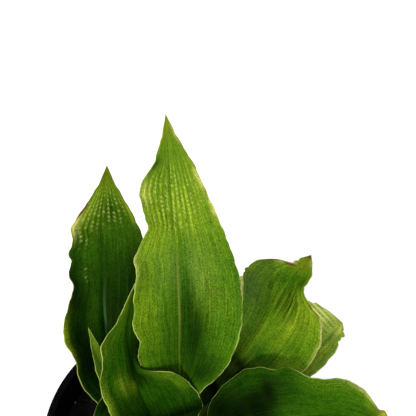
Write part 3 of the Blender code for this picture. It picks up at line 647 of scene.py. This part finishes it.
class Shade:
    """A material under construction, with short ways to add its nodes."""

    def __init__(self, name):
        self.material = bpy.data.materials.new(name)
        self.material.use_nodes = True
        self.nodes = self.material.node_tree.nodes
        self.links = self.material.node_tree.links
        self.surface = self.nodes["Principled BSDF"]

    def put(self, socket, value):
        """Set a socket to a number or colour, or link it to another node's output."""
        if isinstance(value, bpy.types.NodeSocket):
            self.links.new(value, socket)
        elif socket.type == "RGBA" and len(value) == 3:
            socket.default_value = (*value, 1)
        else:
            socket.default_value = value

    def add(self, kind, values, **settings):
        """A node with its sockets filled."""
        node = self.nodes.new(kind)
        for key, setting in settings.items():
            setattr(node, key, setting)
        for key, value in values.items():
            self.put(node.inputs[key], value)
        return node

    def math(self, operation, first, second=0.0):
        return self.add("ShaderNodeMath", {0: first, 1: second}, operation=operation).outputs[0]

    def times(self, first, second):
        return self.math("MULTIPLY", first, second)

    def plus(self, first, second):
        return self.math("ADD", first, second)

    def weighted(self, start, *parts):
        """A start value plus each part's value times its weight."""
        for value, weight in parts:
            start = self.plus(start, self.times(value, weight))
        return start

    def band(self, value, low, high):
        """0 at low, 1 at high, smooth between; low may be the larger."""
        node = self.add("ShaderNodeMapRange", {"Value": value, "From Min": low, "From Max": high},
                        interpolation_type="SMOOTHSTEP")
        return node.outputs["Result"]

    def mix(self, amount, first, second):
        """Blend of two colours."""
        node = self.add("ShaderNodeMix", {0: amount, 6: first, 7: second}, data_type="RGBA")
        return node.outputs[2]

    def filtered(self, colour, tone):
        """A colour times a number or another colour."""
        node = self.add("ShaderNodeVectorMath", {0: colour, 1: tone}, operation="MULTIPLY")
        return node.outputs[0]

    def vector(self, x, y, z):
        return self.add("ShaderNodeCombineXYZ", {0: x, 1: y, 2: z}).outputs[0]

    def parts(self, vector):
        return self.add("ShaderNodeSeparateXYZ", {0: vector}).outputs

    def noise(self, place, scale, detail=3.0, roughness=0.55):
        """Soft noise about 0.5."""
        node = self.add("ShaderNodeTexNoise", {"Vector": place, "Scale": scale, "Detail": detail,
                                               "Roughness": roughness})
        return node.outputs[0]

    def chance(self, place):
        """A chance number from 0 to 1 for each place."""
        return self.add("ShaderNodeTexWhiteNoise", {"Vector": place}).outputs["Value"]

    def read(self, name, output):
        """Values stored on the piece's points."""
        return self.add("ShaderNodeAttribute", {}, attribute_name=name).outputs[output]

    def place(self):
        """Place on the piece, in metres."""
        return self.add("ShaderNodeTexCoord", {}).outputs["Object"]

    def paint(self, colour, roughness, gloss):
        """Give the surface its colour, roughness and strength of reflections."""
        for name, value in (("Base Color", colour), ("Roughness", roughness),
                            ("Specular IOR Level", gloss)):
            self.put(self.surface.inputs[name], value)

    def bump(self, height, distance, strength=1.0):
        """Normal of a surface raised by a height from 0 to 1, times the distance."""
        node = self.add("ShaderNodeBump", {"Height": height, "Distance": distance, "Strength": strength})
        self.put(self.surface.inputs["Normal"], node.outputs[0])


def leaf_material(leaf, look):
    """Veined green with a pale edge, rows of pale dots, cross bars, furrows and browned spots.
    A lane is the strip round a vein, half-way to the next ones."""
    shade = Shade("skin_of_" + leaf.name)
    band, mix, times, weighted = shade.band, shade.mix, shade.times, shade.weighted
    seed = float(sum(map(ord, leaf.name)) % 97)
    lane, along, edge = shade.parts(shade.read("place", "Vector"))
    from_midrib = shade.read("from_midrib", "Fac")
    colour = shade.read("tint", "Vector")
    dots, bars, brown, furrow = [shade.read(kind, "Fac") for kind in MARK_KINDS]

    def streaks(across, per_mm, detail):
        """Noise drawn out along the leaf, in steps for each lane and each millimetre."""
        return shade.noise(shade.vector(times(lane, across), times(along, per_mm), seed), 1.0, detail)

    # The veins wander a little, and all that follows goes with them
    lane = shade.plus(lane, times(shade.plus(streaks(0.3, 0.010, 1.0), -0.5), 0.5))
    from_vein = shade.math("PINGPONG", lane, 0.5)
    from_small_vein = shade.math("PINGPONG", times(lane, SMALL_VEINS), 0.5)
    broad = streaks(0.8, 0.020, 2.0)
    narrow = streaks(2.6, 0.030, 2.0)
    hair = streaks(6.5, 0.100, 2.0)
    mottle = streaks(5.0, 1.4, 3.0)
    blotch = streaks(1.4, 0.35, 2.0)

    # Light, dark and warm streaks
    level = weighted(-1.8, (broad, 0.5), (narrow, 0.7), (hair, 1.2), (mottle, 2.4), (blotch, 0.8))
    colour = shade.filtered(colour, shade.math("MAXIMUM", level, 0.2))
    warm = band(weighted(0.0, (broad, 0.6), (narrow, 0.4)), 0.42, 0.62)
    colour = mix(times(warm, 0.35), colour, shade.filtered(colour, WARM_TONE))

    # Veins, and painted shade in the furrows beside them
    vein = weighted(0.0, (band(from_vein, 0.10, 0.02), 0.5), (band(from_small_vein, 0.20, 0.05), 0.35))
    vein = times(times(vein, band(hair, 0.35, 0.60)), look.veins)
    colour = mix(times(vein, 0.8), colour, shade.filtered(colour, VEIN_TONE))
    colour = mix(times(vein, 0.05), colour, VEIN)
    furrow_shade = times(furrow, band(narrow, 0.55, 0.44))
    colour = mix(times(furrow_shade, 0.9), colour, shade.filtered(colour, FURROW_SHADE_TONE))

    # Rows of pale dots, each row shifted by chance, with some dots left out
    lane_number = shade.math("ROUND", lane)
    shift = shade.chance(shade.vector(lane_number, seed, 0.0))
    step = weighted(0.0, (along, 1 / DOT_SPACING), (narrow, 2.0), (shift, 5.0))
    luck = shade.chance(shade.vector(lane_number, shade.math("ROUND", step), seed))
    dotted = band(dots, 0.05, 0.80)
    stripe = times(band(from_vein, 0.42, 0.05), band(hair, 0.35, 0.65))
    colour = mix(times(dotted, 0.3), colour, shade.filtered(colour, BETWEEN_DOTS_TONE))
    colour = mix(times(times(stripe, dotted), 0.6), colour, shade.filtered(colour, STRIPE_TONE))
    dot = times(band(from_vein, 0.40, 0.02), band(shade.math("PINGPONG", step, 0.5), 0.45, 0.05))
    dot = times(times(dot, band(luck, 0.05, 0.70)), dotted)
    colour = mix(times(dot, 0.45), colour, DOT)

    # Bars across the leaf
    bar = shade.math("PINGPONG", weighted(0.0, (along, BARS_PER_MM), (mottle, 0.3)), 0.5)
    colour = mix(times(band(bar, 0.30, 0.12), bars), colour, PALE_BAR)
    colour = mix(times(times(band(bar, 0.34, 0.48), bars), 0.7), colour, MEADOW)

    # Midrib, browned spots and pale edge
    rib_line = times(band(from_midrib, 1.0, 0.2), look.rib)
    rib_fade = times(band(shade.read("along_part", "Fac"), 0.66, 0.50), band(narrow, 0.2, 0.6))
    colour = mix(times(rib_line, rib_fade), colour, look.rib_colour)
    scorched = band(weighted(brown, (shade.plus(mottle, -0.5), 0.8)), 0.35, 0.65)
    colour = mix(scorched, colour, BROWN)
    line_width = weighted(PALE_EDGE_WIDTH, (shade.plus(narrow, -0.5), 0.8))
    line = band(shade.math("DIVIDE", edge, line_width), 1.0, 0.3)
    faint = shade.noise(shade.vector(times(along, 0.11), seed, 0.0), 1.0, 3.0)
    line = times(line, times(band(faint, 0.30, 0.58), look.margin))
    colour = mix(line, colour, CREAM)

    shade.paint(colour, shade.plus(0.40, times(mottle, 0.2)), LEAF_GLOSS)
    shade.put(shade.surface.inputs["Specular Tint"], GLOSS_TINT)
    height = weighted(0.0, (band(from_vein, 0.3, 0.0), 0.5), (mottle, 0.35), (hair, 0.45))
    shade.bump(height, 0.10 * MM, 0.8)
    return shade.material


def dress(piece, material, slot, node=None):
    """Give a piece its material, hang it on the root, and hide the imported part it replaces."""
    piece.data.materials.append(material)
    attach(piece, "root")
    if node:
        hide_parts(node)


def make_leaf(leaf):
    """The finer leaf, in place of its solid."""
    look = LOOKS[leaf.name]
    columns = np.linspace(-1, 1, COLUMNS)
    at = np.linspace(0, LAST_ROW, ROWS)
    length = length_of(leaf.midrib)
    middle, half_widths = leaf_surface(leaf, look, at, columns)
    normals = unit(np.cross(np.gradient(middle, axis=1), np.gradient(middle, axis=0)))
    widest = np.where(columns < 0, half_widths[:, 0].max(), half_widths[:, -1].max())
    lanes = np.broadcast_to(columns * widest / VEIN_SPACING, half_widths.shape)
    from_midrib = half_widths * np.abs(columns)
    # The relief fades out towards the tip, the base and the edges
    inside = np.clip((1 - at) * 4, 0, 1)[:, None] * np.clip(at * 12, 0, 1)[:, None]
    near_edge = np.clip((1 - np.abs(columns)) * 8, 0, 1)
    relief = RIB_HEIGHT * np.cos(2 * math.pi * lanes) * near_edge
    relief = (relief - CHANNEL_DEPTH * np.exp(-(from_midrib / CHANNEL_WIDTH) ** 2)) * inside
    trenches = 0.5 - 0.5 * np.cos(4 * math.pi * lanes)
    relief -= FURROW_DEPTH * marked(look, at, columns, "furrow") * trenches
    offset = leaf_thickness(at, columns) / 2
    upper = middle + normals * (offset + relief)[:, :, None]
    lower = middle - normals * (offset - UNDERSIDE_RELIEF * relief)[:, :, None]
    tip = along_the_midrib(leaf.midrib, np.array([1.0]))
    vertices = np.vstack([upper.reshape(-1, 3), lower.reshape(-1, 3), tip])
    piece = add_piece(leaf.name + "_fine", vertices, leaf_faces(ROWS, COLUMNS))

    def both_faces(values, tip_value):
        """Values of the grid for the upper face, the lower face and the tip."""
        flat = values.reshape(-1, *values.shape[2:])
        return np.concatenate([flat, flat, np.asarray(tip_value, dtype=float)[None]])

    distance = np.broadcast_to((at * length)[:, None], lanes.shape)
    edge = np.minimum(half_widths * (1 - np.abs(columns)), (length - distance) / 2)
    add_values(piece, "place", both_faces(np.stack([lanes, distance, edge], axis=-1), (0, length, 0)))
    add_values(piece, "from_midrib", both_faces(from_midrib, 0))
    add_values(piece, "along_part", both_faces(np.broadcast_to(at[:, None], lanes.shape), 1))
    for kind in MARK_KINDS:
        add_values(piece, kind, both_faces(marked(look, at, columns, kind), 0))
    top = painted(look, at, columns).reshape(-1, 3)
    bottom = (1 - UNDERSIDE_SHARE) * top + UNDERSIDE_SHARE * np.array(UNDERSIDE)
    add_values(piece, "tint", np.vstack([top, bottom, top[-1:]]))
    dress(piece, leaf_material(leaf, look), leaf.slot, leaf.name)


def turned(outline, sides):
    """Vertices and faces of an outline of (radius, height) turned about +Z."""
    vertices, rings, faces = [], [], []
    for radius, height in outline:
        if radius == 0:
            rings.append([len(vertices)] * sides)
            vertices.append((0, 0, height))
            continue
        rings.append([len(vertices) + k for k in range(sides)])
        for k in range(sides):
            angle = 2 * math.pi * k / sides
            vertices.append((radius * math.cos(angle), radius * math.sin(angle), height))
    for ring, following in zip(rings, rings[1:]):
        for k in range(sides):
            corners = [ring[k], ring[(k + 1) % sides], following[(k + 1) % sides], following[k]]
            faces.append(list(dict.fromkeys(corners)))
    return vertices, faces


def wall_radius(height):
    """Outer radius of the pot's tapered wall."""
    body = RIM_RADIUS - RIM_BAND_DEPTH
    return BASE_RADIUS + (body - BASE_RADIUS) * height / POT_HEIGHT


def inside_of_pot(clearance):
    """Inner outline of the pot from the middle of its floor up its wall, moved in by a clearance."""
    inset = WALL + clearance
    raised = CHANNEL_RISE + inset
    return [
        (0, inset),
        (PAD_RADIUS - inset, inset),
        (PAD_RADIUS + CHANNEL_SLOPE - inset, raised),
        (FOOT_INNER_RADIUS - CHANNEL_SLOPE + inset, raised),
        (FOOT_INNER_RADIUS + inset, inset),
        (FOOT_RADIUS - inset / 2, inset),
        (wall_radius(raised) - inset, raised),
    ]


def rounded(centre, radius, first_degrees, last_degrees, steps=5):
    """Points of a small arc in an outline's plane."""
    points = []
    for step in range(steps + 1):
        angle = math.radians(first_degrees + (last_degrees - first_degrees) * step / steps)
        points.append((centre[0] + radius * math.cos(angle), centre[1] + radius * math.sin(angle)))
    return points


def plastic_material():
    """Black moulded plastic with faint flow marks, fine grain and a little dust."""
    shade = Shade("black_plastic")
    place = shade.place()
    cloud = shade.noise(place, 40.0, 4.0)
    grain = shade.noise(place, 1400.0, 2.0)
    dust = shade.band(shade.noise(place, 160.0, 5.0, 0.7), 0.60, 0.80)
    colour = shade.mix(shade.band(cloud, 0.35, 0.7), PLASTIC_BLACK, PLASTIC_GREY)
    colour = shade.mix(shade.times(dust, 0.04), colour, DUST)
    shade.paint(colour, shade.plus(0.45, shade.times(cloud, 0.15)), POT_GLOSS)
    shade.bump(shade.plus(grain, shade.times(cloud, 1.5)), 0.05 * MM, 0.6)
    return shade.material


def make_pot():
    """The pot with rounded rim and its drain holes."""
    band_bottom = POT_HEIGHT - RIM_BAND_HEIGHT
    rim_inner = wall_radius(POT_HEIGHT) - WALL
    rounding = RIM_ROUNDING
    outline = inside_of_pot(0) + [(wall_radius(band_bottom) - WALL, band_bottom)]
    outline += rounded((rim_inner + rounding, POT_HEIGHT - rounding), rounding, 180, 90)
    outline += rounded((RIM_RADIUS - rounding, POT_HEIGHT - rounding), rounding, 90, 0)
    outline += rounded((RIM_RADIUS - rounding, band_bottom + rounding), rounding, 0, -90)
    outline += [
        (wall_radius(band_bottom), band_bottom),
        (wall_radius(CHANNEL_RISE), CHANNEL_RISE),
        (FOOT_RADIUS, 0),
        (FOOT_INNER_RADIUS, 0),
        (FOOT_INNER_RADIUS - CHANNEL_SLOPE, CHANNEL_RISE),
        (PAD_RADIUS + CHANNEL_SLOPE, CHANNEL_RISE),
        (PAD_RADIUS, 0),
        (0, 0),
    ]
    pot = add_piece("pot_fine", *turned(outline, POT_SIDES), crease=CREASE)
    channel_middle = (PAD_RADIUS + FOOT_INNER_RADIUS) / 2
    cutters = []
    for k in range(DRAIN_HOLES):
        angle = 2 * math.pi * (k + 0.5) / DRAIN_HOLES
        place = (channel_middle * math.cos(angle), channel_middle * math.sin(angle), CHANNEL_RISE)
        bpy.ops.mesh.primitive_cylinder_add(vertices=DRAIN_SIDES, radius=DRAIN_RADIUS * MM,
                                            depth=CUT_DEPTH * MM, location=[value * MM for value in place])
        cutters.append(bpy.context.object)
        hole = pot.modifiers.new("drain_hole", "BOOLEAN")
        hole.operation = "DIFFERENCE"
        hole.solver = "EXACT"
        hole.object = cutters[-1]
    whole = pot.evaluated_get(bpy.context.evaluated_depsgraph_get())
    pot.data = bpy.data.meshes.new_from_object(whole)
    pot.modifiers.clear()
    for cutter in cutters:
        bpy.data.objects.remove(cutter)
    pot.data.materials.clear()
    dress(pot, plastic_material(), "pot", "pot")


def soil_height(radius, angle):
    """Gently mounded, uneven top of the soil."""
    mound = SOIL_MOUND * (1 - (radius / RIM_RADIUS) ** 2)
    waves = sum(np.sin(bumps * angle + twist * radius + start) for bumps, twist, start in SOIL_WAVES)
    fade = np.minimum(1, radius / (SOIL_FLAT_PART * RIM_RADIUS))
    return SOIL_LEVEL + mound + SOIL_WAVE * waves * fade


def soil_material():
    """Dark peat with brown fibres."""
    shade = Shade("potting_soil")
    place = shade.place()
    coarse = shade.noise(place, 260.0, 5.0, 0.7)
    fine = shade.noise(place, 1500.0, 4.0, 0.7)
    colour = shade.mix(shade.band(coarse, 0.35, 0.75), WET_PEAT, PEAT)
    colour = shade.mix(shade.times(shade.band(fine, 0.66, 0.80), 0.3), colour, FIBRE)
    shade.paint(colour, 0.95, SOIL_GLOSS)
    shade.bump(shade.plus(coarse, shade.times(fine, 0.5)), 0.5 * MM)
    return shade.material


def grain_material(name, colour):
    """A colour with dark pores, for crumbs and perlite."""
    shade = Shade(name)
    grain = shade.noise(shade.place(), 900.0, 4.0)
    darker = tuple(0.4 * value for value in colour)
    shade.paint(shade.mix(shade.band(grain, 0.3, 0.7), darker, colour), 0.9, SOIL_GLOSS)
    shade.bump(grain, 0.2 * MM)
    return shade.material


def make_soil(random):
    """Soil body with a lumpy top, and loose crumbs and perlite on it."""
    hole = STEM_RADIUS + STEM_GAP
    outer = wall_radius(SOIL_LEVEL) - WALL - SOIL_GAP
    outline = [(0, STEM_FOOT - STEM_GAP), (hole, STEM_FOOT - STEM_GAP)]
    outline += [(hole + (outer - hole) * step / (SOIL_RINGS - 1), SOIL_LEVEL) for step in range(SOIL_RINGS)]
    outline += list(reversed(inside_of_pot(SOIL_GAP)))
    vertices, faces = turned(outline, SOIL_SIDES)
    vertices = np.array(vertices, dtype=float)
    first_top = 1 + SOIL_SIDES
    top = slice(first_top, first_top + SOIL_RINGS * SOIL_SIDES)
    x, y = vertices[top, 0], vertices[top, 1]
    lumps = np.zeros_like(x)
    for size, height in LUMPS:
        for _ in range(WAVES_PER_LUMP):
            heading, start = random.uniform(0, 2 * math.pi, 2)
            distance = x * math.cos(heading) + y * math.sin(heading)
            lumps += height / WAVES_PER_LUMP * np.sin(2 * math.pi * distance / size + start)
    vertices[top, 2] = soil_height(np.hypot(x, y), np.arctan2(y, x)) + lumps
    soil = add_piece("soil_fine", vertices, faces, crease=CREASE)
    dress(soil, soil_material(), "soil", "soil")
    add_bits("soil_crumbs", random, CRUMBS, CRUMB_SIZE, grain_material("bark_crumbs", BARK))
    perlite = grain_material("perlite", PERLITE_GREY)
    add_bits("soil_perlite", random, PERLITE, PERLITE_SIZE, perlite, seen=SEEN_GRAINS)


def add_bits(name, random, count, sizes, material, seen=()):
    """Many small irregular bits that lie on the soil, as one piece; the first lie at seen places."""
    vertices, faces = [], []
    inner = STEM_RADIUS + BITS_FROM_STEM
    outer = wall_radius(SOIL_LEVEL) - WALL - BITS_FROM_WALL
    ball = bmesh.new()
    bmesh.ops.create_icosphere(ball, subdivisions=1, radius=1.0)
    ball_points = np.array([vertex.co[:] for vertex in ball.verts])
    ball_faces = [[vertex.index for vertex in face.verts] for face in ball.faces]
    ball.free()
    for number in range(count):
        radius = math.sqrt(random.uniform(inner**2, outer**2))
        angle, turn = random.uniform(0, 2 * math.pi, 2)
        size = random.uniform(*sizes)
        if number < len(seen):
            radius, angle = seen[number]
        stretch = random.uniform(*BIT_STRETCH, 3) * (1, 1, BIT_FLATNESS)
        uneven = 1 + random.uniform(-BIT_UNEVENNESS, BIT_UNEVENNESS, (len(ball_points), 1))
        points = ball_points * uneven * stretch * size / 2
        cosine, sine = math.cos(turn), math.sin(turn)
        points = points @ np.array([[cosine, sine, 0], [-sine, cosine, 0], [0, 0, 1]])
        height = soil_height(radius, angle) + BIT_LIFT
        middle = np.array([radius * math.cos(angle), radius * math.sin(angle), height])
        first = len(vertices)
        vertices.extend((points + middle).tolist())
        faces.extend([[first + index for index in face] for face in ball_faces])
    bits = add_piece(name, vertices, faces, crease=math.radians(30))
    dress(bits, material, "soil")


def stem_material():
    """Fibrous green stem, browner at the foot and fresher at the bud."""
    shade = Shade("green_stem")
    x, y, z = shade.parts(shade.place())
    along_fibres = shade.vector(shade.times(x, 900.0), shade.times(y, 900.0), shade.times(z, 120.0))
    fibre = shade.noise(along_fibres, 1.0)
    up = shade.band(z, (STEM_TOP - 6) * MM, (STEM_TOP + 3) * MM)
    colour = shade.mix(up, STEM_GREEN, BUD_GREEN)
    colour = shade.mix(shade.times(shade.band(fibre, 0.35, 0.75), 0.5), colour, STEM_FIBRE)
    shade.paint(colour, 0.55, STEM_GLOSS)
    shade.bump(fibre, 0.2 * MM)
    return shade.material


def make_crown():
    """Short stem with leaf scars round it and the rolled growing bud on top."""
    foot = STEM_FOOT + STEM_FOOT_ROUNDING
    shoulder = STEM_TOP - STEM_SHOULDER
    outline = [(0, STEM_FOOT)]
    outline += rounded((STEM_RADIUS - STEM_FOOT_ROUNDING, foot), STEM_FOOT_ROUNDING, -90, 0)
    steps = LEAF_SCARS * SCAR_STEPS
    for step in range(1, steps):
        radius = STEM_RADIUS - (SCAR_DEPTH if step % SCAR_STEPS == SCAR_STEPS // 2 else 0)
        outline.append((radius, foot + (shoulder - foot) * step / steps))
    outline += rounded((STEM_RADIUS - STEM_SHOULDER, shoulder), STEM_SHOULDER, 0, 90)
    for step in range(BUD_STEPS):
        part = step / BUD_STEPS
        radius = BUD_RADIUS * math.sqrt(1 - part**3) * (1 - BUD_TAPER * part)
        outline.append((radius, STEM_TOP + BUD_LIFT + (BUD_TOP - STEM_TOP) * part))
    outline.append((0, BUD_TOP))
    vertices, faces = turned(outline, CROWN_SIDES)
    vertices = np.array(vertices, dtype=float)
    angle = np.arctan2(vertices[:, 1], vertices[:, 0])
    on_bud = vertices[:, 2] > STEM_TOP
    fold = 0.5 + 0.5 * np.sin(BUD_FOLDS * angle + BUD_TWIST * vertices[:, 2])
    vertices[:, :2] *= (1 - BUD_FOLD_DEPTH * fold * on_bud)[:, None]
    crown = add_piece("crown_fine", vertices, faces, crease=math.radians(60))
    dress(crown, stem_material(), "stem", "crown")


def make_stage():
    """Pale floor, soft sky, one key light and the camera."""
    scene = bpy.context.scene
    bpy.ops.mesh.primitive_plane_add(size=FLOOR_SIZE)
    floor = bpy.context.object
    floor.name = "floor"
    shade = Shade("pale_floor")
    shade.paint(FLOOR_COLOUR, 0.9, 0.5)
    floor.data.materials.append(shade.material)

    world = bpy.data.worlds.new("soft_sky")
    world.use_nodes = True
    sky = world.node_tree.nodes["Background"]
    sky.inputs["Color"].default_value = (*SKY_COLOUR, 1)
    sky.inputs["Strength"].default_value = SKY_STRENGTH
    scene.world = world

    lamp = bpy.data.lights.new("key", "AREA")
    lamp.shape = "DISK"
    lamp.size = KEY_SIZE
    lamp.energy = KEY_POWER
    lamp.color = KEY_COLOUR
    key = bpy.data.objects.new("key", lamp)
    azimuth, elevation = math.radians(KEY_AZIMUTH), math.radians(KEY_ELEVATION)
    away = KEY_DISTANCE * math.cos(elevation)
    key.location = (away * math.sin(azimuth), -away * math.cos(azimuth),
                    KEY_TARGET + KEY_DISTANCE * math.sin(elevation))
    key.rotation_euler = (math.pi / 2 - elevation, 0, azimuth)
    bpy.context.collection.objects.link(key)

    camera = bpy.data.objects.new("camera", bpy.data.cameras.new("camera"))
    camera.data.lens = CAMERA_LENS
    camera.data.clip_start = 0.01
    camera.location = [value * MM for value in CAMERA_PLACE]
    camera.rotation_euler = (math.radians(90 - CAMERA_PITCH), 0, 0)
    bpy.context.collection.objects.link(camera)
    scene.camera = camera
    scene.view_settings.view_transform = "Standard"


def main():
    random = np.random.default_rng(7)
    make_stage()
    for leaf in LEAVES:
        make_leaf(leaf)
    make_crown()
    make_pot()
    make_soil(random)
    bpy.context.view_layer.update()


main()
